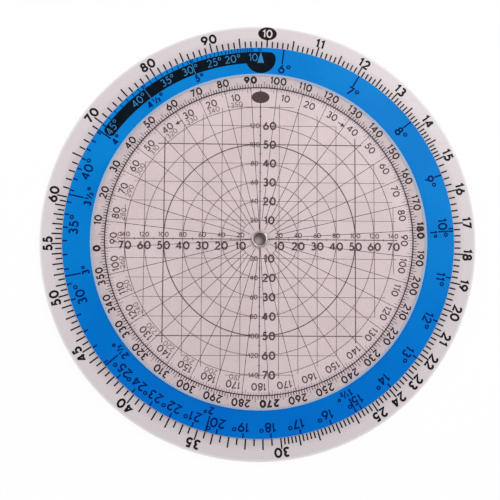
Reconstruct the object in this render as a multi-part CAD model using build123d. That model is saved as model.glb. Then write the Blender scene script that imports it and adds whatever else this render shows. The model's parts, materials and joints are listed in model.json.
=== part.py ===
"""Circular slide rule for course and wind sums, with a wind side and a calculator side.

The frame has its origin on the eyelet's axis at the lowest point, +Z out of the wind side and
+Y through the airspeed index. Dial angles are in degrees, clockwise from +Y as a reader of that
side sees them, so they run the other way round on the rear.
"""

from build123d import *
from math import acos, ceil, log10, pi, radians, sin, sqrt
import os

os.makedirs("parts", exist_ok=True)

# Eyelet: a drawn metal tube with a rolled rim in front and a clinched one behind
eyelet_bore_diameter = 4.2
eyelet_wall = 0.3
front_rim_overhang = 0.4
clinch_overhang = 0.8
rim_shoulder_share = 0.3
rim_gap = 0.1

# Rear washer that the clinch bears on
washer_diameter = 9.0
washer_thickness = 0.3

# Plates, from the rear to the front
cursor_thickness = 0.8
time_disc_thickness = 0.6
base_diameter = 152.4
base_thickness = 1.0
airspeed_disc_thickness = 0.6
plotting_disc_thickness = 0.5

# Widths of the rings that stay in view, from the base disc's edge inwards
outer_scale_width = 7.9
blue_ring_width = 9.8
compass_scale_width = 5.05
variation_scale_width = 5.3

# Edges of the plates, broken after die cutting
base_edge_chamfer = 0.2
disc_edge_chamfer = 0.12
plotting_edge_chamfer = 0.15

# Running fits
turning_gap = 0.2
pivot_clearance = 0.05

# Printed ink
ink_thickness = 0.03
fine_line_width = 0.18
bold_line_width = 0.28
grid_line_width = 0.13
scale_line_width = 0.5
sine_line_width = 0.5
cosine_line_width = 0.3
print_gap = 0.1
printed_circle_flat_depth = 0.05

# Outer scale on the base, both faces
short_mark_length = 2.4
long_mark_length = 3.7
outer_scale_turn = 1.85

# Blue ring of the airspeed disc
blue_band_tuck_width = 0.8
sine_mark_length = 1.7
small_sine_mark_length = 5.4
sloping_mark_length_step = 0.9
cosine_band_edge_gap = 1.7
cosine_band_width = 4.05
index_lobe_radius = 5.35
index_lobe_depth = 4.0
index_triangle_width = 2.4
index_triangle_height = 3.9
index_triangle_gap = 0.1

# Wind grid, printed under the plotting disc
grid_line_spacing = 6.67
bold_line_overrun_length = 1.0
course_index_width = 6.2
course_index_gap = 1.1
course_pointer_width = 1.5

# Compass rose on the plotting disc
compass_ring_width = 0.3
compass_mark_length = 2.0
compass_turn = -93.7
spoke_start_gap = 0.9

# Time scale, speed index and sight windows of the calculator side
time_mark_length = 3.4
time_scale_turn = 38.0
speed_index_width = 7.0
speed_index_height = 6.2
window_edge_inset = 22.2
window_width = 7.6
window_spacing = 17.0
inner_window_width = 6.4
window_mark_length = 4.0

# Cursor, a clear arm with an engraved and filled hairline
cursor_hub_diameter = 21.0
cursor_root_width = 15.0
cursor_tip_width = 24.0
cursor_rim_inset = 0.6
cursor_corner_radius = 2.4
cursor_edge_chamfer = 0.12
cursor_turn = 62.0
hairline_width = 0.16
hairline_depth = 0.1

# Scale sections: first value, last value, step, and the step that gets a long mark
scale_start_value = 10
scale_sections = ((10, 15, 0.1, 0.5), (15, 30, 0.2, 1), (30, 60, 0.5, 1), (60, 100, 1, 5))
sine_degrees = range(10, 46)
sloping_sine_degrees = range(6, 10)
small_sine_degrees = (1, 1.5, 2, 2.5, 3, 3.5, 4, 4.5, 5)
cosine_degrees = (0, 5, *range(10, 45))
band_end_degrees = 45
speed_index_value = 60
full_turn = 360
right_angle = 90

# Counts and angles of what repeats
bold_grid_line = 5
spoke_count = 36
long_spoke_count = 12
compass_mark_count = 72
window_mark_count = 24
outer_windows = ((222, 318), (50, 126))
inner_windows = ((140, 230),)

# Levels, worked out from the lowest point upwards
clinch_height = (clinch_overhang + eyelet_wall) / 2
cursor_floor = clinch_height + washer_thickness + rim_gap
time_floor = cursor_floor + cursor_thickness + turning_gap
base_floor = time_floor + time_disc_thickness + turning_gap
airspeed_floor = base_floor + base_thickness + turning_gap
airspeed_top = airspeed_floor + airspeed_disc_thickness
plotting_floor = airspeed_top + turning_gap
plotting_top = plotting_floor + plotting_disc_thickness
front_rim_floor = plotting_top + rim_gap

# Radii that several pieces share
bore_radius = eyelet_bore_diameter / 2
barrel_radius = bore_radius + eyelet_wall
front_rim_edge = barrel_radius + front_rim_overhang
clinch_edge = barrel_radius + clinch_overhang
pivot_hole_radius = barrel_radius + pivot_clearance
base_radius = base_diameter / 2
dial_radius = base_radius - outer_scale_width
plotting_radius = dial_radius - blue_ring_width
compass_radius = plotting_radius - compass_scale_width
grid_radius = compass_radius - variation_scale_width
window_radius = dial_radius - window_edge_inset
inner_window_radius = window_radius - window_spacing
band_outer = dial_radius - cosine_band_edge_gap
band_inner = band_outer - cosine_band_width
grid_lines_each_way = int(grid_radius / grid_line_spacing)


def scale_angle(value):
    """Dial angle of a value on a scale that takes one full turn for a factor of ten."""
    return full_turn * log10(value / scale_start_value)


def sine_angle(angle):
    """Dial angle of a sine on the same scale, counted from the index."""
    return full_turn * log10(sin(radians(angle))) % full_turn


def plate(edge, thickness, floor, edge_chamfer):
    """A round plate with broken edges and the pivot hole, as one revolved profile."""
    outline = Polyline(
        (pivot_hole_radius, 0),
        (edge - edge_chamfer, 0),
        (edge, edge_chamfer),
        (edge, thickness - edge_chamfer),
        (edge - edge_chamfer, thickness),
        (pivot_hole_radius, thickness),
        close=True,
    )
    return Pos(0, 0, floor) * revolve(Plane.XZ * make_face(outline), Axis.Z)


def flat_ring(inner, outer, floor, height):
    """A flat ring round the axis."""
    return Pos(0, 0, floor) * extrude(Circle(outer) - Circle(inner), height)


def printed_circle(radius, width, sides, floor):
    """A circle of printed line, as a ring with flat sides."""
    outer = RegularPolygon(radius + width / 2, sides)
    inner = RegularPolygon(radius - width / 2, sides)
    return Pos(0, 0, floor) * extrude(outer - inner, ink_thickness)


def mark(inner, outer, width, angle, floor, side=1):
    """One printed line along a radius. Side is 1 on the wind side and -1 on the other."""
    line = Box(width, outer - inner, ink_thickness, align=(Align.CENTER, Align.MIN, Align.MIN))
    return Rot(0, 0, -side * angle) * (Pos(0, inner, floor) * line)


def scale_marks(start, short, long, floor, turn, side):
    """A logarithmic scale. Negative lengths run inwards, and a short length of zero is left out."""
    marks = []
    for first, last, step, long_step in scale_sections:
        for count in range(round((last - first) / step)):
            value = first + count * step
            is_long = round(value / step) % round(long_step / step) == 0
            length = long if is_long else short
            if length:
                inner, outer = sorted((start, start + length))
                angle = scale_angle(value) + turn
                marks.append(mark(inner, outer, scale_line_width, angle, floor, side))
    return marks


def base_disc():
    """The white plate that everything turns against."""
    return plate(base_radius, base_thickness, base_floor, base_edge_chamfer)


def outer_scale_marks():
    """Every division of the outer scale on the wind side, from the blue ring outwards."""
    start = dial_radius + print_gap
    floor = base_floor + base_thickness
    return scale_marks(start, short_mark_length, long_mark_length, floor, outer_scale_turn, 1)


def rear_scale_marks():
    """The long divisions of the same scale on the calculator side."""
    start = dial_radius + print_gap
    floor = base_floor - ink_thickness
    return scale_marks(start, 0, long_mark_length, floor, 0, -1)


def window_scale_marks():
    """The two rings of lines on the base that show through the time disc's windows."""
    floor = base_floor - ink_thickness
    marks = []
    for radius in (window_radius, inner_window_radius):
        inner = radius - window_mark_length / 2
        outer = radius + window_mark_length / 2
        for count in range(window_mark_count):
            angle = count * full_turn / window_mark_count
            marks.append(mark(inner, outer, bold_line_width, angle, floor, -1))
    return marks


def airspeed_disc():
    """The plate that carries the blue ring and the wind grid."""
    return plate(dial_radius, airspeed_disc_thickness, airspeed_floor, disc_edge_chamfer)


def blue_band():
    """The blue ring of the airspeed disc, which runs in under the plotting disc's edge."""
    inner = plotting_radius - blue_band_tuck_width
    outer = dial_radius - disc_edge_chamfer
    return flat_ring(inner, outer, airspeed_top, ink_thickness)


def cosine_band():
    """The dark arc of the cosine scale, which ends in the round lobe of the airspeed index."""
    middle = (band_outer + band_inner) / 2
    sweep = full_turn - sine_angle(band_end_degrees)
    arc = SlotArc(CenterArc((0, 0), middle, right_angle, sweep), cosine_band_width)
    lobe = Pos(0, dial_radius - index_lobe_depth) * Circle(index_lobe_radius)
    tip = band_outer - index_triangle_gap
    foot = tip - index_triangle_height
    half_width = index_triangle_width / 2
    triangle = make_face(Polyline((-half_width, foot), (half_width, foot), (0, tip), close=True))
    shape = arc + (lobe & Circle(band_outer)) - triangle
    return Pos(0, 0, airspeed_top + ink_thickness) * extrude(shape, ink_thickness)


def band_mark(length, angle):
    """One mark that hangs from the blue ring's edge, cut short where the cosine band lies."""
    outer = dial_radius - disc_edge_chamfer - print_gap
    inner = outer - length
    if angle > sine_angle(band_end_degrees) - 1:
        inner = band_outer + print_gap
    return mark(inner, outer, sine_line_width, angle, airspeed_top + ink_thickness)


def sine_scale_marks():
    """Degree marks of the sine scale, and the long ones of the small angles."""
    marks = []
    for angle in sine_degrees:
        marks.append(band_mark(sine_mark_length, sine_angle(angle)))
    for angle in sloping_sine_degrees:
        shorter = (angle - sloping_sine_degrees[0]) * sloping_mark_length_step
        length = small_sine_mark_length - shorter
        marks.append(band_mark(length, sine_angle(angle)))
    for angle in small_sine_degrees:
        marks.append(band_mark(small_sine_mark_length, sine_angle(angle)))
    return marks


def cosine_scale_marks():
    """Degree marks of the cosine scale, in the strip outside its band."""
    length = cosine_band_edge_gap - disc_edge_chamfer - 2 * print_gap
    inner = band_outer + print_gap
    floor = airspeed_top + ink_thickness
    marks = []
    for angle in cosine_degrees:
        dial = sine_angle(right_angle - angle)
        marks.append(mark(inner, inner + length, cosine_line_width, dial, floor))
    return marks


def wind_grid():
    """The square grid of the wind components. Lines up the dial are printed over those across."""
    lines = []
    for count in range(1, grid_lines_each_way + 1):
        offset = count * grid_line_spacing
        half_length = sqrt(grid_radius**2 - offset**2)
        width = grid_line_width
        if count == bold_grid_line:
            half_length += bold_line_overrun_length
            width = bold_line_width
        align = (Align.CENTER, Align.CENTER, Align.MIN)
        line = Box(width, 2 * half_length, ink_thickness, align=align)
        for place in (-offset, offset):
            lines.append(Pos(place, 0, airspeed_top + ink_thickness) * line)
            lines.append(Rot(0, 0, right_angle) * (Pos(place, 0, airspeed_top) * line))
    for quarter in range(full_turn // right_angle):
        level = airspeed_top if quarter % 2 else airspeed_top + ink_thickness
        start = front_rim_edge + print_gap
        lines.append(mark(start, grid_radius, bold_line_width, quarter * right_angle, level))
    return lines


def wind_circles():
    """The speed circles, one for every ten units and bold at fifty."""
    circles = []
    for count in range(1, grid_lines_each_way + 1):
        radius = count * grid_line_spacing
        width = bold_line_width if count == bold_grid_line else grid_line_width
        sides = ceil(pi / acos(1 - printed_circle_flat_depth / radius))
        level = airspeed_top + 2 * ink_thickness
        circles.append(printed_circle(radius, width, sides, level))
    return circles


def course_index():
    """The small oval index between the grid and the compass ring, with its pointer."""
    height = variation_scale_width - course_index_gap
    middle = grid_radius + height / 2
    oval = Ellipse(course_index_width / 2, height / 2)
    half_width = course_pointer_width / 2
    tip = compass_radius - middle - compass_ring_width
    pointer = make_face(Polyline((-half_width, 0), (half_width, 0), (0, tip), close=True))
    return Pos(0, middle, airspeed_top) * extrude(oval + pointer, ink_thickness)


def plotting_disc():
    """The thin clear disc, frosted for pencil, that turns over the grid."""
    return plate(
        plotting_radius, plotting_disc_thickness, plotting_floor, plotting_edge_chamfer
    )


def compass_band():
    """The pale ring printed under the plotting disc, behind the compass numbers."""
    outer = plotting_radius - plotting_edge_chamfer
    return flat_ring(compass_radius, outer, plotting_floor - ink_thickness, ink_thickness)


def compass_ring():
    """The compass circle, with a corner at each of its marks."""
    ring = printed_circle(compass_radius, compass_ring_width, compass_mark_count, plotting_top)
    return Rot(0, 0, -compass_turn) * ring


def compass_marks():
    """Every fifth degree of the compass scale, outwards from its circle."""
    start = compass_radius + compass_ring_width / 2
    marks = []
    for count in range(compass_mark_count):
        angle = count * full_turn / compass_mark_count + compass_turn
        marks.append(mark(start, start + compass_mark_length, fine_line_width, angle, plotting_top))
    return marks


def compass_spokes():
    """The lines of bearing. Every third one runs in to the eyelet, the others stop earlier."""
    end = compass_radius - compass_ring_width / 2
    marks = []
    for count in range(spoke_count):
        is_long = count % (spoke_count // long_spoke_count) == 0
        start = front_rim_edge + spoke_start_gap if is_long else grid_line_spacing
        angle = count * full_turn / spoke_count + compass_turn
        marks.append(mark(start, end, fine_line_width, angle, plotting_top))
    return marks


def window_cut(radius, width, start, end):
    """An arc slot through the time disc, between two dial angles."""
    arc = CenterArc((0, 0), radius, right_angle + start, end - start)
    return Pos(0, 0, time_floor) * extrude(SlotArc(arc, width), time_disc_thickness)


def time_disc():
    """The turning plate of the calculator side, with its sight windows."""
    disc = plate(dial_radius, time_disc_thickness, time_floor, disc_edge_chamfer)
    for start, end in outer_windows:
        disc -= window_cut(window_radius, window_width, start, end)
    for start, end in inner_windows:
        disc -= window_cut(inner_window_radius, inner_window_width, start, end)
    return disc


def time_scale_marks():
    """The long divisions of the time scale, inwards from the time disc's edge."""
    start = dial_radius - disc_edge_chamfer - print_gap
    floor = time_floor - ink_thickness
    return scale_marks(start, 0, -time_mark_length, floor, time_scale_turn, -1)


def speed_index():
    """The black triangle that points at sixty on the time scale."""
    tip = dial_radius - time_mark_length - disc_edge_chamfer - 2 * print_gap
    foot = tip - speed_index_height
    half_width = speed_index_width / 2
    shape = make_face(Polyline((-half_width, foot), (half_width, foot), (0, tip), close=True))
    turn = scale_angle(speed_index_value) + time_scale_turn
    triangle = extrude(shape, ink_thickness)
    return Rot(0, 0, turn) * (Pos(0, 0, time_floor - ink_thickness) * triangle)


def cursor():
    """The clear arm that turns over the calculator side, with a groove for its hairline."""
    reach = base_radius - cursor_rim_inset
    root, tip = cursor_root_width / 2, cursor_tip_width / 2
    sides = make_face(Polyline((-root, 0), (root, 0), (tip, reach), (-tip, reach), close=True))
    arm = sides & Circle(reach)
    corners = arm.vertices().sort_by(Axis.Y)[-2:]
    arm = fillet(corners, cursor_corner_radius)
    outline = arm + Circle(cursor_hub_diameter / 2) - Circle(pivot_hole_radius)
    body = extrude(outline, cursor_thickness)
    rims = [body.edges().group_by(Axis.Z)[level] for level in (0, -1)]
    body = chamfer(rims[0] + rims[1], cursor_edge_chamfer)
    body -= Pos(0, 0, cursor_thickness - hairline_depth) * hairline_bar()
    return Rot(0, 0, cursor_turn) * (Pos(0, 0, cursor_floor) * body)


def hairline_bar():
    """The hairline's own shape, from beside the hub hole to near the rim."""
    inner = cursor_hub_diameter / 2
    outer = base_radius - cursor_rim_inset - cursor_corner_radius
    align = (Align.CENTER, Align.MIN, Align.MIN)
    return Pos(0, inner, 0) * Box(hairline_width, outer - inner, hairline_depth, align=align)


def cursor_hairline():
    """The ink that fills the cursor's groove, flush with the face next to the dial."""
    level = cursor_floor + cursor_thickness - hairline_depth
    return Rot(0, 0, cursor_turn) * (Pos(0, 0, level) * hairline_bar())


def eyelet():
    """The tube that holds the stack, with its rim on the plotting disc and its clinch behind."""
    front_width = front_rim_edge - bore_radius
    front_shoulder = front_width * rim_shoulder_share
    crown = front_rim_floor + front_width / 2
    clinch_width = clinch_edge - bore_radius
    clinch_shoulder = clinch_width * rim_shoulder_share
    outline = Polyline(
        (bore_radius, clinch_height),
        (bore_radius, front_rim_floor),
        (bore_radius + front_shoulder, crown),
        (front_rim_edge - front_shoulder, crown),
        (front_rim_edge, front_rim_floor),
        (barrel_radius, front_rim_floor),
        (barrel_radius, clinch_height),
        (clinch_edge, clinch_height),
        (clinch_edge - clinch_shoulder, 0),
        (bore_radius + clinch_shoulder, 0),
        close=True,
    )
    return revolve(Plane.XZ * make_face(outline), Axis.Z)


def rear_washer():
    """The flat metal washer that the clinch bears on."""
    return flat_ring(pivot_hole_radius, washer_diameter / 2, clinch_height, washer_thickness)


pieces = (
    base_disc,
    outer_scale_marks,
    rear_scale_marks,
    window_scale_marks,
    airspeed_disc,
    blue_band,
    sine_scale_marks,
    cosine_band,
    cosine_scale_marks,
    wind_grid,
    wind_circles,
    course_index,
    plotting_disc,
    compass_band,
    compass_ring,
    compass_marks,
    compass_spokes,
    time_disc,
    time_scale_marks,
    speed_index,
    cursor,
    cursor_hairline,
    eyelet,
    rear_washer,
)
for piece in pieces:
    solid = piece()
    if isinstance(solid, list):
        solid = Compound(children=solid)
    solid.label = piece.__name__
    export_step(solid, f"parts/{piece.__name__}.step")
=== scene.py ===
import json
from math import asin, log10, pi, radians, sin

import bpy
import numpy as np
from mathutils import Matrix, Vector


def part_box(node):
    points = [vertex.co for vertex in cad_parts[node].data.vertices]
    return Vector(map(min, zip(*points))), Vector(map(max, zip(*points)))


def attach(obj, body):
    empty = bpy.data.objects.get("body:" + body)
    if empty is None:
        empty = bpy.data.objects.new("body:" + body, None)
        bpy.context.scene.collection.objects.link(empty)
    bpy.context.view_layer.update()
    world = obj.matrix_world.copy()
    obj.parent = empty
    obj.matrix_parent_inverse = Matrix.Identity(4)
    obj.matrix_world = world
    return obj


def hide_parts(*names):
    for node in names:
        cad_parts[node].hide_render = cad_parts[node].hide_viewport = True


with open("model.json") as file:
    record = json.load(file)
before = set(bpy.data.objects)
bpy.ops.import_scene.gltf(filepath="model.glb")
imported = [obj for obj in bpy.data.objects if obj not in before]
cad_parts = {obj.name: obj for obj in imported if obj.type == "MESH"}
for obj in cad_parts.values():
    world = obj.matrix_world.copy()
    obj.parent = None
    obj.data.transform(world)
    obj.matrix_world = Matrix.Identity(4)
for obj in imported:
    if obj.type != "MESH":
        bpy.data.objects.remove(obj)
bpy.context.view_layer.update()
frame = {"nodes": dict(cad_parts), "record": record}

# Every length is in metres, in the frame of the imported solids: the origin is on the eyelet's axis
# at its lowest point, +Z points out of the wind side and +Y through the airspeed index. A dial
# angle is in degrees, clockwise from +Y as the reader of that side sees it.

# Base disc: a die-cut plate of white vinyl between two thin clear laminates, with broken edges.
# The eyelet is clinched through its middle, and everything else turns against it.
mm = 0.001
base_low, base_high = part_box("base_disc")
base_radius = base_high.x
base_edge_round = 0.2 * mm
eyelet_bore = frame["record"]["mounts"][0]["dims"]["r_mm"] * mm
eyelet_wall = 0.3 * mm
pivot_clearance = 0.05 * mm
pivot_hole = eyelet_bore + eyelet_wall + pivot_clearance
round_steps = 360
sharp_angle = radians(20)
base_rim_highlight_width = 1.1 * mm
dial_shade_width = 6.6 * mm


def woven(rows, columns, rows_close):
    """Four-cornered faces of a grid of points. Its columns close into a loop, and its rows may."""
    row, column = np.meshgrid(np.arange(rows if rows_close else rows - 1), np.arange(columns))
    row, column = row.ravel(), column.ravel()
    after, beside = (row + 1) % rows, (column + 1) % columns
    corners = (row * columns + column, after * columns + column)
    return np.stack([*corners, after * columns + beside, row * columns + beside], axis=1)


def turned(outline, steps=round_steps):
    """A closed outline of (radius, height) points carried round the Z axis:
    x = radius cos(turn), y = radius sin(turn), z = height."""
    radius, height = np.array(outline, float).T
    turn = np.linspace(0, 2 * pi, steps, endpoint=False)[:, None]
    grid = [radius * np.cos(turn), radius * np.sin(turn), height + 0 * turn]
    return np.stack(grid, axis=2).reshape(-1, 3), woven(steps, len(outline), True)


def plate_outline(hole, edge, low, high, edge_round, steps=5):
    """Section of a plate with a hole: square at the hole, and a quarter circle at each rim."""
    bend = np.linspace(0, pi / 2, steps)
    out, up = edge_round * np.sin(bend), edge_round * np.cos(bend)
    lower = np.stack([edge - edge_round + out, low + edge_round - up], axis=1)
    upper = np.stack([edge - edge_round + out, high - edge_round + up], axis=1)[::-1]
    return [(hole, low), *lower, *upper, (hole, high)]


def piece(name, shapes, body, finish, replaced=()):
    """Joins shapes of points and faces into one mesh, which rides on a body with a finish."""
    points = np.concatenate([shape[0] for shape in shapes])
    starts = np.cumsum([0] + [len(shape[0]) for shape in shapes])
    faces = np.concatenate([shape[1] + start for shape, start in zip(shapes, starts)])
    mesh = bpy.data.meshes.new(name)
    mesh.from_pydata(points.tolist(), [], faces.tolist())
    mesh.materials.append(finish)
    mesh.shade_smooth()
    mesh.set_sharp_from_angle(angle=sharp_angle)
    made = bpy.data.objects.new(name, mesh)
    bpy.context.scene.collection.objects.link(made)
    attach(made, body)
    if replaced:
        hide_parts(*replaced)


class Signal:
    """A value that runs from one shader socket to others. Sums with it add Math nodes."""

    def __init__(self, finish, socket):
        self.finish = finish
        self.socket = socket

    def worked(self, operation, first, second):
        """One Math node, fed by two numbers or signals."""
        return self.finish.node("ShaderNodeMath", {"operation": operation}, {0: first, 1: second})

    def __add__(self, other):
        return self.worked("ADD", self, other)

    def __sub__(self, other):
        return self.worked("SUBTRACT", self, other)

    def __rsub__(self, other):
        return self.worked("SUBTRACT", other, self)

    def __mul__(self, other):
        return self.worked("MULTIPLY", self, other)

    def __gt__(self, other):
        return self.worked("GREATER_THAN", self, other)

    __radd__ = __add__
    __rmul__ = __mul__


class Finish:
    """A material whose nodes are added one by one. Its place is the point on the object."""

    def __init__(self, name):
        self.material = bpy.data.materials.new(name)
        self.material.use_nodes = True
        self.tree = self.material.node_tree
        self.tree.nodes.clear()
        self.place = self.node("ShaderNodeTexCoord", output="Object")

    def node(self, kind, settings=None, sockets=None, output=0):
        """Adds a node, sets its settings and then its sockets, and gives one of its outputs."""
        made = self.tree.nodes.new(kind)
        for name, value in (settings or {}).items():
            setattr(made, name, value)
        for name, value in (sockets or {}).items():
            if isinstance(value, Signal):
                self.tree.links.new(value.socket, made.inputs[name])
            else:
                made.inputs[name].default_value = value
        return Signal(self, made.outputs[output]) if made.outputs else None

    def noise(self, size, detail, stretch=None):
        """Cloudy noise from 0 to 1 with features of a size, or stretched along the axes."""
        place = self.place
        if stretch:
            place = self.node("ShaderNodeMapping", None, {"Vector": place, "Scale": stretch})
        sockets = {"Vector": place, "Scale": 1 / size, "Detail": detail}
        return self.node("ShaderNodeTexNoise", None, sockets)

    def spread(self, value, low, high, new_low=0.0, new_high=1.0):
        """Carries a value from one range to another, clamped at its ends and eased."""
        sockets = {0: value, 1: low, 2: high, 3: new_low, 4: new_high}
        return self.node("ShaderNodeMapRange", {"interpolation_type": "SMOOTHSTEP"}, sockets)

    def mixed(self, share, first, second):
        """One colour turned into another by a share from 0 to 1."""
        sockets = {0: share, 6: first, 7: second}
        return self.node("ShaderNodeMix", {"data_type": "RGBA"}, sockets, output=2)

    def from_axis(self):
        """The distance from the eyelet's axis."""
        flat = self.node(
            "ShaderNodeVectorMath", {"operation": "MULTIPLY"}, {0: self.place, 1: (1, 1, 0)}
        )
        return self.node("ShaderNodeVectorMath", {"operation": "LENGTH"}, {0: flat}, "Value")

    def bumped(self, height, depth, strength=0.5):
        """A normal that leans with a height from 0 to 1."""
        sockets = {"Height": height, "Distance": depth, "Strength": strength}
        return self.node("ShaderNodeBump", None, sockets)

    def surfaced(self, sockets):
        """Ends the material in one surface shader with these sockets."""
        shader = self.node("ShaderNodeBsdfPrincipled", None, sockets)
        self.node("ShaderNodeOutputMaterial", None, {"Surface": shader})
        return self.material


def shade(red, green, blue):
    """A colour as the screen shows it, from 0 to 255, turned into light for the shader by the
    screen's standard curve: straight near black, and a power of 2.4 above it."""
    screen = np.array([red, green, blue]) / 255
    light = np.where(screen > 0.04045, ((screen + 0.055) / 1.055) ** 2.4, screen / 12.92)
    return (*light.tolist(), 1.0)


def vinyl(name, darker, lighter, bands=()):
    """Satin laminated vinyl: faint clouds in its colour, a fine grain, and long shallow scuffs.
    A band turns it to another colour from one radius to the next."""
    finish = Finish(name)
    cloud = finish.noise(size=16 * mm, detail=3.0)
    grain = finish.noise(size=0.35 * mm, detail=2.0)
    scuff = finish.noise(size=1.2 * mm, detail=2.0, stretch=(0.12, 1.0, 1.0))
    share = finish.spread(cloud * 0.85 + grain * 0.15, low=0.35, high=0.65)
    colour = finish.mixed(share, darker, lighter)
    for start, end, band_colour in bands:
        colour = finish.mixed(finish.spread(finish.from_axis(), start, end), colour, band_colour)
    scuffed = finish.spread(scuff, low=0.62, high=0.7)
    return finish.surfaced({
        "Base Color": colour,
        "Roughness": 0.34 + cloud * 0.12 + scuffed * 0.12,
        "Specular IOR Level": 0.3,
        "Normal": finish.bumped(grain * 0.6 + scuffed * 0.4, depth=0.004 * mm),
    })


base_vinyl = vinyl("base_vinyl", shade(198, 188, 192), shade(204, 195, 199), [
    # Painted shade beside the dial: the vinyl keeps its darker colours next to the dial's edge and
    # turns lighter over this band further out.
    (base_radius - dial_shade_width, base_radius - dial_shade_width / 2, shade(216, 206, 210)),
    # Painted highlight: the outermost band whitens the plate along its rounded rim.
    (base_radius - base_rim_highlight_width, base_radius, shade(236, 232, 233)),
])
base_outline = plate_outline(pivot_hole, base_radius, base_low.z, base_high.z, base_edge_round)
piece("base_plate", [turned(base_outline)], "base", base_vinyl, ["base_disc"])

# Outer scale: black ink screened on the base plate round the blue ring, under the laminate. Every
# division is a printed line of the solids, and the numbers stand outside them with their tops out.
ink_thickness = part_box("outer_scale_marks")[1].z - base_high.z
ink_foot = -0.005 * mm
stroke_step = 0.002 * mm
least_run = 1e-12
least_corner_cosine = 0.6
outer_scale_turn = 1.85
outer_number_radius = 73.33 * mm
outer_number_height = 3.5 * mm
outer_number_stroke = 0.75 * mm
outer_number_stretch = 1.12
outer_numbers = [*range(11, 26), *range(30, 61, 5), *range(70, 91, 10)]
full_turn = 360
quarter_turn = full_turn // 4
scale_start = 10


def scale_angle(value):
    """Dial angle of a value on a scale that takes one turn for a factor of ten."""
    return full_turn * log10(value / scale_start)


def strip(left, right, foot=ink_foot, top=ink_thickness, closed=False):
    """A raised band between two lines of points, seen by the reader with x right and y up:
    each row of the grid holds left and right at the top and then at the foot."""
    left, right = np.array(left, float), np.array(right, float)
    rows = [(left, top), (left, foot), (right, foot), (right, top)]
    grid = [np.column_stack([side, np.full(len(side), height)]) for side, height in rows]
    points = np.stack(grid, axis=1).reshape(-1, 3)
    faces = woven(len(left), 4, closed)
    if not closed:
        last = 4 * (len(left) - 1)
        faces = np.concatenate([faces, [[0, 1, 2, 3], [last + 3, last + 2, last + 1, last]]])
    return points, faces


def ribbon(path, width, closed=False, lift=0.0):
    """A band of even width along a path: each point's sides lie half the width off it, along the
    line that halves its corner and further out where the corner is sharp."""
    path = np.array(path, float)
    runs = np.roll(path, -1, axis=0) - path
    runs /= np.maximum(np.linalg.norm(runs, axis=1), least_run)[:, None]
    if not closed:
        runs[-1] = runs[-2]
    before = np.roll(runs, 1, axis=0)
    if not closed:
        before[0] = runs[0]
    ahead = runs + before
    ahead /= np.maximum(np.linalg.norm(ahead, axis=1), least_run)[:, None]
    reach = 1 / np.maximum(np.sum(ahead * runs, axis=1), least_corner_cosine)
    side = np.stack([-ahead[:, 1], ahead[:, 0]], axis=1) * (reach * width / 2)[:, None]
    return strip(path + side, path - side, ink_foot, ink_thickness + lift, closed)


def bow(x, y, width, height, start, end, steps=9):
    """Points on an ellipse between two angles, counted anticlockwise from its right side."""
    turn = np.radians(np.linspace(start, end, steps))
    return np.stack([x + width / 2 * np.cos(turn), y + height / 2 * np.sin(turn)], axis=1)


def loop(x, y, width, height, steps):
    """A whole ellipse, whose last point joins its first."""
    return bow(x, y, width, height, 0, full_turn - full_turn / steps, steps)


# The numbers are drawn as strokes in a box one unit high, after plain geometric sign lettering.
# Each has its width and its strokes, and a stroke with a true mark closes on itself.
half_one = np.array([(0.0, 0.84), (0.14, 1.0), (0.14, 0.5)])
half_two = np.concatenate([bow(0.96, 0.36, 0.3, 0.28, 170, -40, 6), [(0.8, 0.0), (1.14, 0.0)]])
characters = {
    "0": (0.66, [(loop(0.33, 0.5, 0.66, 1.0, 18), True)]),
    "1": (0.24, [([(0.0, 0.8), (0.22, 1.0), (0.22, 0.0)], False)]),
    "2": (0.56, [
        (np.concatenate([bow(0.28, 0.71, 0.52, 0.58, 165, -38), [(0.0, 0.0), (0.58, 0.0)]]), False),
    ]),
    "3": (0.54, [
        (bow(0.26, 0.755, 0.44, 0.49, 150, -90), False),
        (bow(0.26, 0.255, 0.54, 0.51, 90, -150), False),
    ]),
    "4": (0.62, [
        ([(0.45, 0.0), (0.45, 1.0)], False),
        ([(0.45, 1.0), (0.0, 0.27), (0.62, 0.27)], False),
    ]),
    "5": (0.56, [
        (np.concatenate([
            [(0.5, 1.0), (0.17, 1.0), (0.08, 0.55)], bow(0.26, 0.32, 0.58, 0.64, 122, -150),
        ]), False),
    ]),
    "6": (0.58, [
        (loop(0.29, 0.3, 0.58, 0.6, 14), True),
        ([(0.4, 1.0), (0.04, 0.42)], False),
    ]),
    "7": (0.54, [([(0.0, 1.0), (0.54, 1.0), (0.16, 0.0)], False)]),
    "8": (0.56, [
        (loop(0.28, 0.76, 0.44, 0.48, 12), True),
        (loop(0.28, 0.26, 0.56, 0.52, 14), True),
    ]),
    "9": (0.58, [
        (loop(0.29, 0.7, 0.58, 0.6, 14), True),
        ([(0.18, 0.0), (0.54, 0.58)], False),
    ]),
    "°": (0.38, [(loop(0.19, 0.83, 0.38, 0.38, 12), True)]),
    "½": (1.14, [
        (half_one, False), ([(0.28, 0.02), (0.76, 0.98)], False), (half_two, False),
    ]),
    ":": (0.1, [([(0.05, 0.62), (0.05, 0.76)], False), ([(0.05, 0.2), (0.05, 0.34)], False)]),
}
character_gap_share = 0.12
small_signs = "°½"
small_sign_share = 0.7


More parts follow.
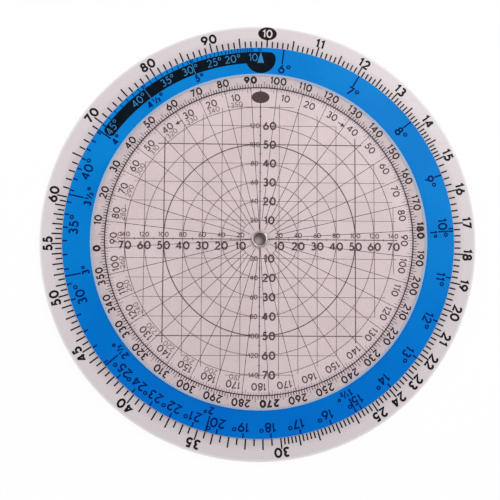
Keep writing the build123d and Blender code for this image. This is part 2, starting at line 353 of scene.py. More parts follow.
def written(text, height, stroke, at, turn, stretch):
    """Strokes of a number round a point, turned clockwise by some degrees. The point is the middle
    of the digits, and a degree sign after them hangs over."""
    scale = height - stroke
    gap = character_gap_share + stroke / scale
    centred = text.rstrip("°") or text
    middle = (sum(characters[digit][0] * stretch + gap for digit in centred) - gap) / 2
    pen = -middle
    strokes = []
    for character in text:
        width, lines = characters[character]
        line_width = stroke * small_sign_share if character in small_signs else stroke
        for path, closed in lines:
            strokes.append((np.array(path) * (stretch, 1) + (pen, -0.5), closed, line_width))
        pen += width * stretch + gap
    angle = radians(turn)
    across, up = (np.cos(angle), -np.sin(angle)), (np.sin(angle), np.cos(angle))
    shapes = []
    for place, (path, closed, line_width) in enumerate(strokes):
        flat = path * scale
        path = np.outer(flat[:, 0], across) + np.outer(flat[:, 1], up) + at
        shapes.append(ribbon(path, line_width, closed, place * stroke_step))
    return shapes


def on_dial(radius, angle):
    """A point on the face, by radius and dial angle."""
    return np.array([radius * np.sin(np.radians(angle)), radius * np.cos(np.radians(angle))])


def round_number(text, height, stroke, radius, angle, stretch=1.0):
    """A number on a dial, with its top outwards."""
    return written(text, height, stroke, on_dial(radius, angle), angle, stretch)


def radial_line(inner, outer, angle, foot_width, tip_width):
    """A printed line along a radius, which may taper."""
    ends = np.array([on_dial(inner, angle), on_dial(outer, angle)])
    side = on_dial(0.5, angle - quarter_turn)
    half = np.array([[foot_width], [tip_width]]) * side
    return strip(ends + half, ends - half)


def oval(width, height, radius, angle, steps=24):
    """A filled oval whose height lies along the radius, cut just short of its two tips: each row
    lies at sin(along) of half the height and reaches cos(along) of half the width."""
    tip = 0.499 * pi
    along = np.linspace(-tip, tip, steps)
    middle = on_dial(radius, angle) + np.outer(np.sin(along), on_dial(height / 2, angle))
    half = np.outer(np.cos(along), on_dial(width / 2, angle - quarter_turn))
    return strip(middle + half, middle - half)


def printed(name, shapes, level, side, body, finish, replaced=()):
    """Lays shapes that face the reader onto a face. Side is 1 in front, and -1 behind, where
    x runs the other way and the ink stands below the face."""
    laid = [(points * (side, 1, side) + (0, 0, level), faces) for points, faces in shapes]
    piece(name, laid, body, finish, replaced)


def ink(name, darker, lighter, specular=0.2, shades=True):
    """Screened ink, a little uneven in depth. Ink on clear plastic lets light past to the print
    under it, as the frosted face scatters its shadow."""
    finish = Finish(name)
    cloud = finish.noise(size=2.5 * mm, detail=3.0)
    sockets = {
        "Base Color": finish.mixed(finish.spread(cloud, low=0.3, high=0.7), darker, lighter),
        "Roughness": 0.42 + cloud * 0.15,
        "Specular IOR Level": specular,
    }
    if not shades:
        shadow = finish.node("ShaderNodeLightPath", output="Is Shadow Ray")
        bounced = finish.node("ShaderNodeLightPath", output="Is Diffuse Ray")
        sockets["Alpha"] = 1 - (shadow + bounced)
    return finish.surfaced(sockets)


def dressed(node, finish):
    """Gives a solid that stays in view its finish."""
    for slot in frame["nodes"][node].material_slots:
        slot.material = finish


black_ink = ink("black_ink", shade(16, 9, 12), shade(28, 19, 23), specular=0.12)
white_ink = ink("white_ink", shade(214, 206, 210), shade(224, 217, 220))
dressed("outer_scale_marks", black_ink)
shapes = []
for value in outer_numbers:
    angle = scale_angle(value) + outer_scale_turn
    shapes += round_number(
        str(value), outer_number_height, outer_number_stroke, outer_number_radius, angle,
        outer_number_stretch,
    )
oval_width, oval_height, oval_radius = 6.65 * mm, 4.7 * mm, 73.65 * mm
oval_number_height, oval_number_stroke, oval_number_lift = 2.95 * mm, 0.48 * mm, 0.01 * mm
oval_number_stretch = 1.05
shapes.append(oval(oval_width, oval_height, oval_radius, outer_scale_turn))
printed("outer_numbers", shapes, base_high.z, 1, "base", black_ink)
oval_number = round_number(
    "10", oval_number_height, oval_number_stroke, oval_radius, outer_scale_turn,
    oval_number_stretch,
)
printed(
    "oval_number", oval_number, base_high.z + oval_number_lift, 1, "base", white_ink
)

# Airspeed disc: the next plate up, of the same white vinyl but a little warmer, die cut round and
# loose on the eyelet. Its face carries the blue ring, the two sine scales and the wind grid.
airspeed_low, airspeed_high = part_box("airspeed_disc")
dial_radius = airspeed_high.x
dial_edge_round = 0.12 * mm
dial_vinyl = vinyl("dial_vinyl", shade(215, 197, 199), shade(221, 203, 205))
dial_outline = plate_outline(
    pivot_hole, dial_radius, airspeed_low.z, airspeed_high.z, dial_edge_round
)
piece(
    "airspeed_plate", [turned(dial_outline)], "airspeed_dial", dial_vinyl,
    ["airspeed_disc"],
)

# Blue ring: solid blue ink screened on the airspeed plate under its clear laminate. It runs out to
# the plate's edge, and in under the clear disc.
blue_low, blue_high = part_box("blue_band")
plotting_low, plotting_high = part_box("plotting_disc")
plotting_radius = plotting_high.x
blue_tuck_width = 0.8 * mm
blue_inner = plotting_radius - blue_tuck_width
blue_outer = blue_high.x
band_top = blue_high.z
# Painted shade and light on the blue ring: deepest towards the dial's foot, and lightest from here
# towards its top.
shaded_end, light_start = dial_radius * -0.95, dial_radius * 0.25


def blue_print():
    """Solid blue with a faint cloudiness and fine rub marks, and painted shade: darker towards the
    dial's foot and lighter towards its top.
    """
    finish = Finish("blue_print")
    cloud = finish.noise(size=20 * mm, detail=3.0)
    grain = finish.noise(size=0.5 * mm, detail=2.0)
    rub = finish.noise(size=3 * mm, detail=4.0)
    share = finish.spread(cloud * 0.75 + grain * 0.25, low=0.35, high=0.65)
    up = finish.node("ShaderNodeSeparateXYZ", None, {0: finish.place}, "Y")
    shaded_blue = finish.mixed(share, shade(0, 106, 199), shade(0, 112, 204))
    light = finish.mixed(share, shade(0, 122, 204), shade(7, 130, 211))
    upper = finish.spread(up, shaded_end, light_start)
    return finish.surfaced({
        "Base Color": finish.mixed(upper, shaded_blue, light),
        "Roughness": 0.34 + cloud * 0.1 + finish.spread(rub, low=0.6, high=0.75) * 0.15,
        "Specular IOR Level": 0.04,
        "Normal": finish.bumped(grain, depth=0.008 * mm),
    })


def ring(inner, outer, low, high):
    """A flat ring with square edges."""
    return turned([(inner, low), (outer, low), (outer, high), (inner, high)])


blue = blue_print()
blue_ring = ring(blue_inner, blue_outer, blue_low.z + ink_foot, band_top)
piece("blue_ring", [blue_ring], "airspeed_dial", blue, ["blue_band"])

# Sine scale: black over blue, which reads as navy. Its degrees stand inside short lines, and the
# small angles have a row of their own further in.
navy_ink = ink("navy_ink", shade(0, 22, 80), shade(0, 34, 106), specular=0.04)
sine_number_height = 3.35 * mm
sine_number_stroke = 0.58 * mm
sine_number_radius = 64.4 * mm
sine_number_stretch = 1.1
sine_degrees = [*range(10, 26), *range(30, 41, 5)]
parted_labels = {
    10: [("10", -1.55, 0), ("°", 1.8, 0)],
    15: [("15", -0.35, 0), ("°", 2.65, 0)],
    20: [("20", 0.25, 0), ("°", 2.6, 1.4 * mm)],
}
sloping_degrees = {6: 61.0 * mm, 7: 61.75 * mm, 8: 62.6 * mm, 9: 63.5 * mm}
small_number_height = 2.75 * mm
small_number_stroke = 0.6 * mm
small_number_radius = 60.9 * mm
small_degrees = {
    1: "1°", 1.5: "1½°", 2: "2°", 2.5: "2½°", 3: "3°", 3.5: "3½°", 4: "4°", 4.5: "4½°", 5: "5°",
}


def sine_angle(angle):
    """Dial angle of a sine, counted from the index on the same scale as the base's."""
    return full_turn * log10(sin(radians(angle))) % full_turn


dressed("sine_scale_marks", navy_ink)
dressed("cosine_scale_marks", navy_ink)
shapes = []
for degrees in sine_degrees:
    for text, place, rise in parted_labels.get(degrees, [(f"{degrees}°", 0, 0)]):
        shapes += round_number(
            text, sine_number_height, sine_number_stroke, sine_number_radius + rise,
            sine_angle(degrees) + place, sine_number_stretch,
        )
for degrees, radius in sloping_degrees.items():
    shapes += round_number(
        f"{degrees}°", sine_number_height, sine_number_stroke, radius, sine_angle(degrees),
        sine_number_stretch,
    )
for degrees, text in small_degrees.items():
    shapes += round_number(
        text, small_number_height, small_number_stroke, small_number_radius, sine_angle(degrees)
    )
printed("sine_numbers", shapes, band_top, 1, "airspeed_dial", navy_ink)

# Cosine band: a solid black arc over the blue that ends in the half-round shield of the airspeed
# index. Its numbers, the index point and the two long lines that cross it are left blue.
cosine_edge_gap, cosine_width = 1.7 * mm, 4.05 * mm
band_outer = dial_radius - cosine_edge_gap
band_inner = band_outer - cosine_width
band_end_degrees, band_start_overrun, band_start_round = 45, 1.75, 1.3
band_start = sine_angle(band_end_degrees) - full_turn - band_start_overrun
lobe_radius, lobe_depth = 5.35 * mm, 4.0 * mm
lobe_centre = dial_radius - lobe_depth
lobe_side = np.degrees(asin(lobe_radius / lobe_centre))
lobe_corner_share, lobe_corner_depth = 0.62, 2.6 * mm
lobe_corner_start = lobe_side * lobe_corner_share
band_number_height, band_number_stroke, band_number_rise = 2.8 * mm, 0.34 * mm, 0.05 * mm
band_number_radius = (band_outer + band_inner) / 2 + band_number_rise
print_gap = 0.1 * mm
arc_points, nearly_closed = 400, 0.999


def cosine_arc():
    """The arc's inner edge is its own radius or, where it is nearer the axis and everywhere past
    the index, the lobe's circle: along a ray, c cos(a) - sqrt(r^2 - c^2 sin(a)^2) from the axis,
    for a circle of radius r whose centre lies c from it. The outer edge rounds off over the last
    part as a quarter ellipse, and both edges open at the start as a half ellipse."""
    angle = np.linspace(band_start, lobe_side, arc_points)
    turn = np.radians(angle)
    under_root = lobe_radius**2 - (lobe_centre * np.sin(turn)) ** 2
    lobe = lobe_centre * np.cos(turn) - np.sqrt(np.maximum(under_root, 0))
    inner = np.where(under_root > 0, np.minimum(lobe, band_inner), band_inner)
    inner = np.where(angle > 0, lobe, inner)
    past = np.clip((angle - lobe_corner_start) / (lobe_side - lobe_corner_start), 0, 1)
    outer = band_outer - lobe_corner_depth * (1 - np.sqrt(1 - past**2))
    before = np.clip(1 - (angle - band_start) / band_start_round, 0, nearly_closed)
    opening = np.sqrt(1 - before**2)
    middle = (band_outer + band_inner) / 2
    inner, outer = middle - (middle - inner) * opening, middle + (outer - middle) * opening
    return strip(on_dial(inner, angle).T, on_dial(outer, angle).T)


band_ink = ink("band_ink", shade(4, 12, 22), shade(8, 20, 32), specular=0.05)
band_blue = ink("band_blue", shade(36, 118, 178), shade(54, 132, 190))
printed(
    "cosine_arc", [cosine_arc()], band_top, 1, "airspeed_dial", band_ink,
    ["cosine_band"],
)
band_labels = {
    45: [("45°", 0.4)], 40: [("40°", -0.3)], 35: [("35°", 0.1)], 30: [("30", -1.0), ("°", 1.9)],
    25: [("25°", 0.0)], 20: [("20°", 0.2)], 10: [("10", 0.0)],
}
over_band = ink_thickness + ink_foot
crossing_degrees, crossing_width = (4.5, 5), 0.26 * mm
index_tip, index_height = band_outer - print_gap, 3.9 * mm
index_half_width, index_tip_half_width = 1.2 * mm, 0.04 * mm
shapes = []
for degrees, labels in band_labels.items():
    for text, place in labels:
        shapes += round_number(
            text, band_number_height, band_number_stroke, band_number_radius,
            sine_angle(quarter_turn - degrees) + place,
        )
for degrees in crossing_degrees:
    shapes.append(
        radial_line(band_inner, band_outer, sine_angle(degrees), crossing_width, crossing_width)
    )
index_rows = np.array([(0, index_tip - index_height), (0, index_tip)])
index_half = np.array([(-index_half_width, 0), (-index_tip_half_width, 0)])
shapes.append(strip(index_rows + index_half, index_rows - index_half))
printed(
    "band_numbers", shapes, band_top + over_band, 1, "airspeed_dial", band_blue
)

# Wind grid: fine black lines printed on the airspeed disc and seen through the frosted disc. The
# axes carry half-unit ticks, large numbers on one side and their doubles, small, on the other.
grid_step = 6.67 * mm
grid_steps = 7
half_tick = 0.45 * mm
fine_line = 0.15 * mm
circle_line = 0.13 * mm
bold_circle_line = 0.28 * mm
bold_step = 5
grid_level = airspeed_high.z
circle_low, circle_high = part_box("wind_circles")
grid_ink = ink("grid_ink", shade(48, 25, 29), shade(64, 37, 41))
dressed("wind_grid", grid_ink)
rings = []
for count in range(1, grid_steps + 1):
    half = (bold_circle_line if count == bold_step else circle_line) / 2
    radius = count * grid_step
    rings.append(ring(radius - half, radius + half, circle_low.z + ink_foot, circle_high.z))
piece("speed_circles", rings, "airspeed_dial", grid_ink, ["wind_circles"])
large_height, large_stroke = 2.95 * mm, 0.53 * mm
small_height, small_stroke = 1.7 * mm, 0.23 * mm
large_below, large_beside = -2.3 * mm, 3.25 * mm
small_above, small_beside = 1.45 * mm, -2.0 * mm
grid_stretch = 1.1
large_unit, small_unit = 10, 20
shapes = []
for count in range(-grid_steps, grid_steps + 1):
    place = count * grid_step
    large, small = str(abs(count) * large_unit), str(abs(count) * small_unit)
    if count:
        shapes += written(large, large_height, large_stroke, (place, large_below), 0, grid_stretch)
        shapes += written(small, small_height, small_stroke, (place, small_above), 0, grid_stretch)
    if count and count < grid_steps:
        shapes += written(large, large_height, large_stroke, (large_beside, place), 0, grid_stretch)
        shapes += written(small, small_height, small_stroke, (small_beside, place), 0, grid_stretch)
printed(
    "grid_numbers", shapes, circle_high.z - ink_thickness, 1, "airspeed_dial", grid_ink
)
shapes = []
for count in range(-2 * grid_steps, 2 * grid_steps + 1):
    if count:
        place = count * grid_step / 2
        across = np.array([(place, -half_tick), (place, half_tick)])
        shapes.append(ribbon(across, fine_line))
        shapes.append(ribbon(across[:, ::-1], fine_line))
printed("axis_ticks", shapes, grid_level, 1, "airspeed_dial", grid_ink)

# Course index and variation scale: printed in the ring between the grid and the compass circle,
# with degrees counted both ways from the index.
index_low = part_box("course_index")[0]
compass_scale_width = 5.05 * mm
compass_radius = plotting_radius - compass_scale_width
index_foot = index_low.y
mark_half_width, mark_half_height = 3.1 * mm, 2.1 * mm
flare_half_width, least_half_width = 1.5 * mm, 0.05 * mm
flare_power = 2.2
index_mark_rows = 48
index_ink = ink("index_ink", shade(42, 12, 16), shade(54, 24, 28), specular=0.1)
faint_ink = ink("faint_ink", shade(116, 98, 102), shade(134, 114, 118))


def index_shape():
    """An oval joined to a pointed tip: at each height it is as wide as the wider of the oval and
    of a flare that narrows with a power of the distance to the tip."""
    tip = compass_radius
    middle = index_foot + mark_half_height
    height = np.linspace(index_foot, tip, index_mark_rows)
    level = np.clip(1 - ((height - middle) / mark_half_height) ** 2, 0, 1)
    flare = flare_half_width * np.clip((tip - height) / (tip - middle), 0, 1) ** flare_power
    flare = np.where(height > middle, flare, 0)
    half = np.maximum(mark_half_width * np.sqrt(level), flare) + least_half_width
    left, right = np.stack([-half, height], axis=1), np.stack([half, height], axis=1)
    return strip(left, right)


printed(
    "index_mark", [index_shape()], index_low.z, 1, "airspeed_dial", index_ink,
    ["course_index"],
)
variation_radius = 50.62 * mm
variation_height, variation_stroke = 2.6 * mm, 0.42 * mm
variation_stretch = 1.08
second_radius = 48.2 * mm
second_height, second_stroke = 1.9 * mm, 0.27 * mm
arrow_angle, arrow_radius = 35.0, 49.9 * mm
arrow_length, arrow_head = 2.8 * mm, 1.4 * mm
arrow_shaft, arrow_head_width = 0.32 * mm, 1.5 * mm
arrow_tip_half_width = arrow_shaft / 20
long_division, short_division = 1.7 * mm, 0.9 * mm
division_foot_width, division_tip_width = 0.16 * mm, 0.18 * mm
index_clearance_degrees = 3
half_turn = full_turn // 2
variation_step, long_division_step = 10, 5


def arrow(way):
    """A small arrow that lies along the ring, and points to one side: a shaft and a head."""
    tip, neck, tail = arrow_length / 2, arrow_length / 2 - arrow_head, -arrow_length / 2
    halves = (arrow_shaft / 2, arrow_shaft / 2, arrow_head_width / 2, arrow_tip_half_width)
    rows = np.column_stack([(tail, neck, neck, tip), halves])
    across = on_dial(1.0, way * (arrow_angle + quarter_turn))
    out = on_dial(1.0, way * arrow_angle)
    middle = on_dial(arrow_radius, way * arrow_angle) + np.outer(rows[:, 0], across)
    half = np.outer(rows[:, 1], out) * way
    return strip(middle + half, middle - half)


shapes, faint = [], []
for degrees in range(variation_step, half_turn + 1, variation_step):
    for way in (-1, 1):
        if degrees < half_turn or way == 1:
            shapes += round_number(
                str(degrees), variation_height, variation_stroke, variation_radius, way * degrees,
                variation_stretch,
            )
    if degrees < half_turn:
        faint += round_number(
            str(full_turn - degrees), second_height, second_stroke, second_radius, -degrees,
            variation_stretch,
        )
shapes += [arrow(-1), arrow(1)]
printed("variation_numbers", shapes, grid_level, 1, "airspeed_dial", grid_ink)
for degrees in range(-half_turn, half_turn):
    is_long = degrees % long_division_step == 0
    start = compass_radius - (long_division if is_long else short_division)
    if abs(degrees) > index_clearance_degrees:
        faint.append(
            radial_line(start, compass_radius, degrees, division_foot_width, division_tip_width)
        )
printed("variation_scale", faint, grid_level, 1, "airspeed_dial", faint_ink)

# Clear disc: thin plastic with a frosted face that takes pencil. It turns over the grid, and its
# cut rim carries a painted highlight, a pale line.
plotting_edge_round = 0.15 * mm
# Width of the painted highlight along the clear disc's rim, where the pale print also stops.
clear_rim_highlight_width = 0.5 * mm


def frosted_clear():
    """Milky clear plastic with fine scratches from the pencil, and a painted highlight at its rim:
    paler, bluer and less clear there.
    """
    finish = Finish("frosted_clear")
    cloud = finish.noise(size=12 * mm, detail=3.0)
    grain = finish.noise(size=0.3 * mm, detail=2.0)
    scratch = finish.noise(size=1.5 * mm, detail=3.0, stretch=(1.0, 0.06, 1.0))
    # Painted highlight along the cut rim.
    rim = finish.spread(
        finish.from_axis(), plotting_radius - 2 * clear_rim_highlight_width, plotting_radius - clear_rim_highlight_width
    )
    colour = finish.mixed(rim, shade(214, 200, 203), shade(202, 213, 224))
    haze = 0.03 + cloud * 0.02 + finish.spread(scratch, low=0.66, high=0.72) * 0.03
    return finish.surfaced({
        "Base Color": colour,
        "Roughness": 0.4 + grain * 0.12,
        "Specular IOR Level": 0.25,
        "Alpha": haze + rim * 0.38,
    })


clear_frosted = frosted_clear()
plotting_outline = plate_outline(
    pivot_hole, plotting_radius, plotting_low.z, plotting_high.z, plotting_edge_round
)
piece(
    "clear_disc", [turned(plotting_outline)], "plotting_dial",
    clear_frosted, ["plotting_disc"],
)

# Compass rose: printed on the clear disc, with a pale ring under its numbers and its bearing lines
# over the grid. The four quarter numbers are bold.
pale_low, pale_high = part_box("compass_band")
rose_low, rose_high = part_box("compass_ring")
compass_turn = -93.7
compass_line = 0.34 * mm
pale_ink = ink("pale_ink", shade(200, 184, 187), shade(208, 193, 196))
rose_ink = ink("rose_ink", shade(32, 18, 22), shade(48, 32, 36), shades=False)
spoke_ink = ink("spoke_ink", shade(32, 14, 18), shade(46, 26, 30), shades=False)
pale_edge = plotting_radius - clear_rim_highlight_width
pale_ring = ring(compass_radius, pale_edge, pale_low.z, pale_high.z + ink_foot)
piece("pale_ring", [pale_ring], "plotting_dial", pale_ink, ["compass_band"])
rose_circle = ring(
    compass_radius - compass_line / 2, compass_radius + compass_line / 2,
    rose_low.z + ink_foot, rose_high.z,
)
piece("rose_circle", [rose_circle], "plotting_dial", rose_ink, ["compass_ring"])
dressed("compass_marks", rose_ink)
dressed("compass_spokes", spoke_ink)
compass_number_radius, compass_number_height = 56.18 * mm, 2.78 * mm
quarter_stroke, quarter_stretch = 0.76 * mm, 1.15
bearing_stroke, bearing_stretch = 0.54 * mm, 1.08
solid_mark_step, bearing_step = 5, 10
degree_mark_length, degree_mark_foot, degree_mark_tip = 1.15 * mm, 0.32 * mm, 0.2 * mm
shapes = []
for bearing in range(full_turn):
    angle = bearing + compass_turn
    if bearing % solid_mark_step:
        start = compass_radius + compass_line / 2
        end = start + degree_mark_length
        shapes.append(radial_line(start, end, angle, degree_mark_foot, degree_mark_tip))
    if bearing % bearing_step == 0:
        quarter = bearing % quarter_turn == 0
        stroke = quarter_stroke if quarter else bearing_stroke
        stretch = quarter_stretch if quarter else bearing_stretch
        shapes += round_number(
            str(bearing), compass_number_height, stroke, compass_number_radius, angle, stretch
        )
printed("rose_numbers", shapes, plotting_high.z, 1, "plotting_dial", rose_ink)

# Calculator side of the base: the same scale printed on the back, and two rings of lines and
# numbers that show through the time disc's windows.
dressed("rear_scale_marks", black_ink)
dressed("window_scale_marks", black_ink)
rear_mark_start = dial_radius + print_gap
rear_mark_width, rear_mark_length = 0.44 * mm, 2.4 * mm
scale_sections = ((10, 15, 0.1), (15, 30, 0.2), (30, 60, 0.5), (60, 100, 1))


def scale_marks(inner, outer, turn):
    """A line between two radii at every division of the scale, turned by some degrees."""
    marks = []
    for first, last, step in scale_sections:
        for value in np.arange(first, last - step / 2, step):
            angle = scale_angle(value) + turn
            marks.append(radial_line(inner, outer, angle, rear_mark_width, rear_mark_width))
    return marks


shapes = scale_marks(rear_mark_start, rear_mark_start + rear_mark_length, 0)
for value in outer_numbers + [scale_start]:
    shapes += round_number(
        str(value), outer_number_height, outer_number_stroke, outer_number_radius,
        scale_angle(value), outer_number_stretch,
    )
printed("rear_numbers", shapes, base_low.z, -1, "base", black_ink)
window_radius, window_height, window_stroke = 46.0 * mm, 2.1 * mm, 0.3 * mm
inner_window_radius, inner_window_height, inner_window_stroke = 29.0 * mm, 1.9 * mm, 0.28 * mm
window_step = 15
window_numbers, window_unit, inner_window_unit = 12, 5, 10
shapes = []
for count in range(full_turn // window_step):
    middle, place = (count + 0.5) * window_step, count % window_numbers
    shapes += round_number(
        str(place * window_unit), window_height, window_stroke, window_radius, middle
    )
    shapes += round_number(
        str(place * inner_window_unit), inner_window_height, inner_window_stroke,
        inner_window_radius, middle,
    )
printed("window_numbers", shapes, base_low.z, -1, "base", black_ink)

# Time disc: the turning plate of the calculator side, with die-cut sight windows. Its own scale
# runs along its edge, with hours inside it.
time_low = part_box("time_disc")[0]
time_vinyl = vinyl("time_vinyl", shade(213, 206, 207), shade(220, 214, 215))
dressed("time_disc", time_vinyl)
dressed("time_scale_marks", black_ink)
dressed("speed_index", black_ink)
time_turn = 38.0
time_mark_start, time_mark_length = dial_radius - dial_edge_round - print_gap, 2.1 * mm
time_number_radius, time_number_height, time_number_stroke = 62.6 * mm, 2.7 * mm, 0.4 * mm
hour_radius, hour_height, hour_stroke = 57.9 * mm, 1.9 * mm, 0.27 * mm
minutes_of_an_hour = 60
hour_minutes = (70, 80, 90, 100, 110, 120, 150, 180, 240, 300, 360, 420, 480, 540)
shapes = scale_marks(time_mark_start - time_mark_length, time_mark_start, time_turn)
for value in outer_numbers + [scale_start]:
    if value != minutes_of_an_hour:
        shapes += round_number(
            str(value), time_number_height, time_number_stroke, time_number_radius,
            scale_angle(value) + time_turn,
        )
for minutes in hour_minutes:
    text = f"{minutes // minutes_of_an_hour}:{minutes % minutes_of_an_hour:02d}"
    shapes += round_number(
        text, hour_height, hour_stroke, hour_radius, scale_angle(minutes) + time_turn
    )
printed("time_numbers", shapes, time_low.z, -1, "time_dial", black_ink)

# Cursor: a tapered arm cut from clear polished plastic, loose on the eyelet over the time disc. Its
# red hairline is paint filled into a groove on its inner face.


def clear_plastic():
    """Nearly clear plastic with a faint cool tint and a few long scratches."""
    finish = Finish("clear_plastic")
    cloud = finish.noise(size=10 * mm, detail=2.0)
    scratch = finish.noise(size=0.8 * mm, detail=3.0, stretch=(1.0, 0.05, 1.0))
    marks = finish.spread(scratch, low=0.66, high=0.71)
    return finish.surfaced({
        "Base Color": shade(216, 226, 226),
        "Roughness": 0.08 + cloud * 0.06 + marks * 0.3,
        "Alpha": 0.14 + marks * 0.12,
    })


clear_cursor = clear_plastic()
dressed("cursor", clear_cursor)
hairline_ink = ink("hairline_ink", shade(176, 22, 26), shade(196, 34, 36))
dressed("cursor_hairline", hairline_ink)

# Eyelet and washer: a nickel-plated tube with a rolled rim in front, clinched over a flat washer
# behind. It holds the whole stack, and its bore is open.
eyelet_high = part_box("eyelet")[1]
washer_low, washer_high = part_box("rear_washer")
barrel = eyelet_bore + eyelet_wall
rim_overhang, washer_edge_round = 0.4 * mm, 0.08 * mm
rim_edge = barrel + rim_overhang
eyelet_steps, washer_steps, eyelet_bend_points = 96, 120, 13
clinch_edge = eyelet_high.x
rim_floor = eyelet_high.z - (rim_edge - eyelet_bore) / 2
clinch_top = washer_low.z


def eyelet_outline():
    """Section of the tube: a half circle over the rim, and a half ellipse under the clinch."""
    half_rim, half_clinch = (rim_edge - eyelet_bore) / 2, (clinch_edge - eyelet_bore) / 2
    bend = np.linspace(pi, 0, eyelet_bend_points)
    crown_radius, crown_height = half_rim * (1 + np.cos(bend)), half_rim * np.sin(bend)
    foot_radius, foot_height = half_clinch * (1 - np.cos(bend)), clinch_top * (1 - np.sin(bend))
    crown = np.column_stack([eyelet_bore + crown_radius, rim_floor + crown_height])
    foot = np.column_stack([eyelet_bore + foot_radius, foot_height])
    return [*foot, (barrel, clinch_top), (barrel, rim_floor), *crown[::-1]]


def plated(name, colour, roughness):
    """Plated metal with fine scratches and slightly dulled patches."""
    finish = Finish(name)
    cloud = finish.noise(size=1.5 * mm, detail=3.0)
    scratch = finish.noise(size=0.2 * mm, detail=3.0, stretch=(1.0, 1.0, 0.15))
    dull = finish.spread(cloud, low=0.45, high=0.75)
    return finish.surfaced({
        "Base Color": finish.mixed(dull, colour, shade(150, 138, 132)),
        "Metallic": 1.0,
        "Roughness": roughness + dull * 0.15 + scratch * 0.1,
        "Normal": finish.bumped(scratch, depth=0.01 * mm, strength=0.4),
    })


nickel = plated("nickel", shade(208, 199, 197), roughness=0.2)
steel = plated("steel", shade(196, 194, 192), roughness=0.3)
piece(
    "eyelet_tube", [turned(eyelet_outline(), eyelet_steps)], "base", nickel,
    ["eyelet"],
)
washer_outline = plate_outline(
    pivot_hole, washer_high.x, washer_low.z, washer_high.z, washer_edge_round
)
piece(
    "washer", [turned(washer_outline, washer_steps)], "base", steel,
    ["rear_washer"],
)

# Floor: a plain white sheet. The camera sees it white with a faint shadow, and under the eyelet's
# bore it is painted with shade and one painted spot of light. From below it lets the view through.
floor_half_width = 1.5
floor_level = -0.02 * mm
shadow_share = 0.06
light_spot = (-0.5 * mm, -0.4 * mm, floor_level)
light_spot_radius = 2.4 * mm
shade_edge_width = 0.6 * mm
full_white, sheet_white = (1.0, 1.0, 1.0, 1.0), (0.95, 0.95, 0.95, 1.0)


def floor_paper():
    """White that the camera, gloss and clear plastic see, with painted shade and a painted spot of
    light under the eyelet's bore, mixed with a little plain reflection.
    """
    finish = Finish("floor_paper")
    rays = [
        finish.node("ShaderNodeLightPath", output=f"Is {kind} Ray")
        for kind in ("Camera", "Glossy", "Transmission")
    ]
    behind = finish.node("ShaderNodeNewGeometry", output="Backfacing")
    shown = (rays[0] + rays[1] + rays[2]) * (1 - behind)
    under = finish.spread(finish.from_axis(), rim_edge, rim_edge + shade_edge_width)
    aside = finish.node(
        "ShaderNodeVectorMath", {"operation": "DISTANCE"}, {0: finish.place, 1: light_spot}, "Value"
    )
    spot = finish.spread(aside, 0.0, light_spot_radius, new_low=1.0, new_high=0.0)
    shaded = finish.mixed(spot, shade(84, 70, 72), shade(168, 153, 154))
    paper = finish.mixed(under, shaded, full_white)
    glow = finish.node("ShaderNodeEmission", None, {"Color": paper, "Strength": 1.0})
    plain = finish.node("ShaderNodeBsdfDiffuse", None, {"Color": sheet_white})
    sheet = finish.node("ShaderNodeMixShader", None, {0: shadow_share, 1: glow, 2: plain})
    clear = finish.node("ShaderNodeBsdfTransparent")
    both = finish.node("ShaderNodeMixShader", None, {0: shown, 1: clear, 2: sheet})
    finish.node("ShaderNodeOutputMaterial", None, {"Surface": both})
    return finish.material


floor_mesh = bpy.data.meshes.new("floor")
sides = np.array([(-1, -1), (1, -1), (1, 1), (-1, 1)]) * floor_half_width
corners = np.column_stack([sides, np.full(4, floor_level)])
floor_mesh.from_pydata(corners.tolist(), [], [(0, 1, 2, 3)])
floor_mesh.materials.append(floor_paper())
floor = bpy.data.objects.new("floor", floor_mesh)
bpy.context.scene.collection.objects.link(floor)

# Light: a pale room, dimmer overhead where the faces would mirror it, and two soft lamps, the
# stronger one beyond the top edge.
zenith_light, side_light, low_light = 0.22, 0.77, 0.9
world = bpy.data.worlds.new("room")
bpy.context.scene.world = world
world.use_nodes = True
tree = world.node_tree
tree.nodes.clear()


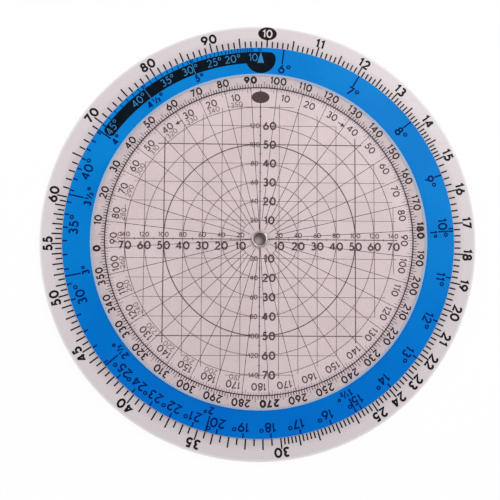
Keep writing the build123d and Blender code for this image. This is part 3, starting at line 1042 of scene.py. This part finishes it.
class Room(Finish):
    """The world's nodes. Its place is the direction looked in."""

    def __init__(self):
        self.tree = tree
        self.place = self.node("ShaderNodeTexCoord", output="Generated")


room = Room()
height = room.node("ShaderNodeSeparateXYZ", None, {0: room.place}, "Z")
upper = zenith_light + (1 - height * height) * (side_light - zenith_light)
below = height * -1.0 > 0.0
level = upper * (1 - below) + below * low_light
camera_ray = room.node("ShaderNodeLightPath", output="Is Camera Ray")
strength = level * (1 - camera_ray) + camera_ray
glow = room.node("ShaderNodeBackground", None, {"Color": full_white, "Strength": strength})
room.node("ShaderNodeOutputWorld", None, {"Surface": glow})


def soft_lamp(name, place, size, power):
    """A square lamp that faces the middle of the rule."""
    data = bpy.data.lights.new(name, "AREA")
    data.size = size
    data.energy = power
    lamp = bpy.data.objects.new(name, data)
    lamp.location = place
    lamp.rotation_euler = Vector(place).to_track_quat("Z", "Y").to_euler()
    bpy.context.scene.collection.objects.link(lamp)


soft_lamp("key_lamp", place=(0.3, 0.28, 0.55), size=0.35, power=2.25)
soft_lamp("fill_lamp", place=(-0.55, 0.1, 0.4), size=0.4, power=1.2)

# Camera: straight over the wind side and a little tilted, as the photograph was taken. The offset
# and the turns were fitted to the rule's circles and marks.
picture_width = 500
focal_pixels = 520
sensor_width = 36
nearest_seen = 5 * mm
tilt_back, tilt_side, roll = radians(-3.128), radians(1.354), radians(-0.39)
view_offset = Vector((3.3799, 3.6936, -181.1172)) * mm
view_level = Vector((0, 0, 4.15)) * mm
to_camera = Matrix.Rotation(tilt_back, 3, "X") @ Matrix.Rotation(tilt_side, 3, "Y")
turn = Matrix.Rotation(roll, 3, "Z")
camera_data = bpy.data.cameras.new("camera")
camera_data.sensor_width = sensor_width
camera_data.lens = sensor_width * focal_pixels / picture_width
camera_data.clip_start = nearest_seen
camera = bpy.data.objects.new("camera", camera_data)
camera_place = turn.transposed() @ (to_camera.transposed() @ -view_offset + view_level)
camera.matrix_world = Matrix.Translation(camera_place) @ (to_camera @ turn).transposed().to_4x4()
bpy.context.scene.collection.objects.link(camera)
bpy.context.scene.camera = camera
bpy.context.scene.view_settings.view_transform = "Standard"
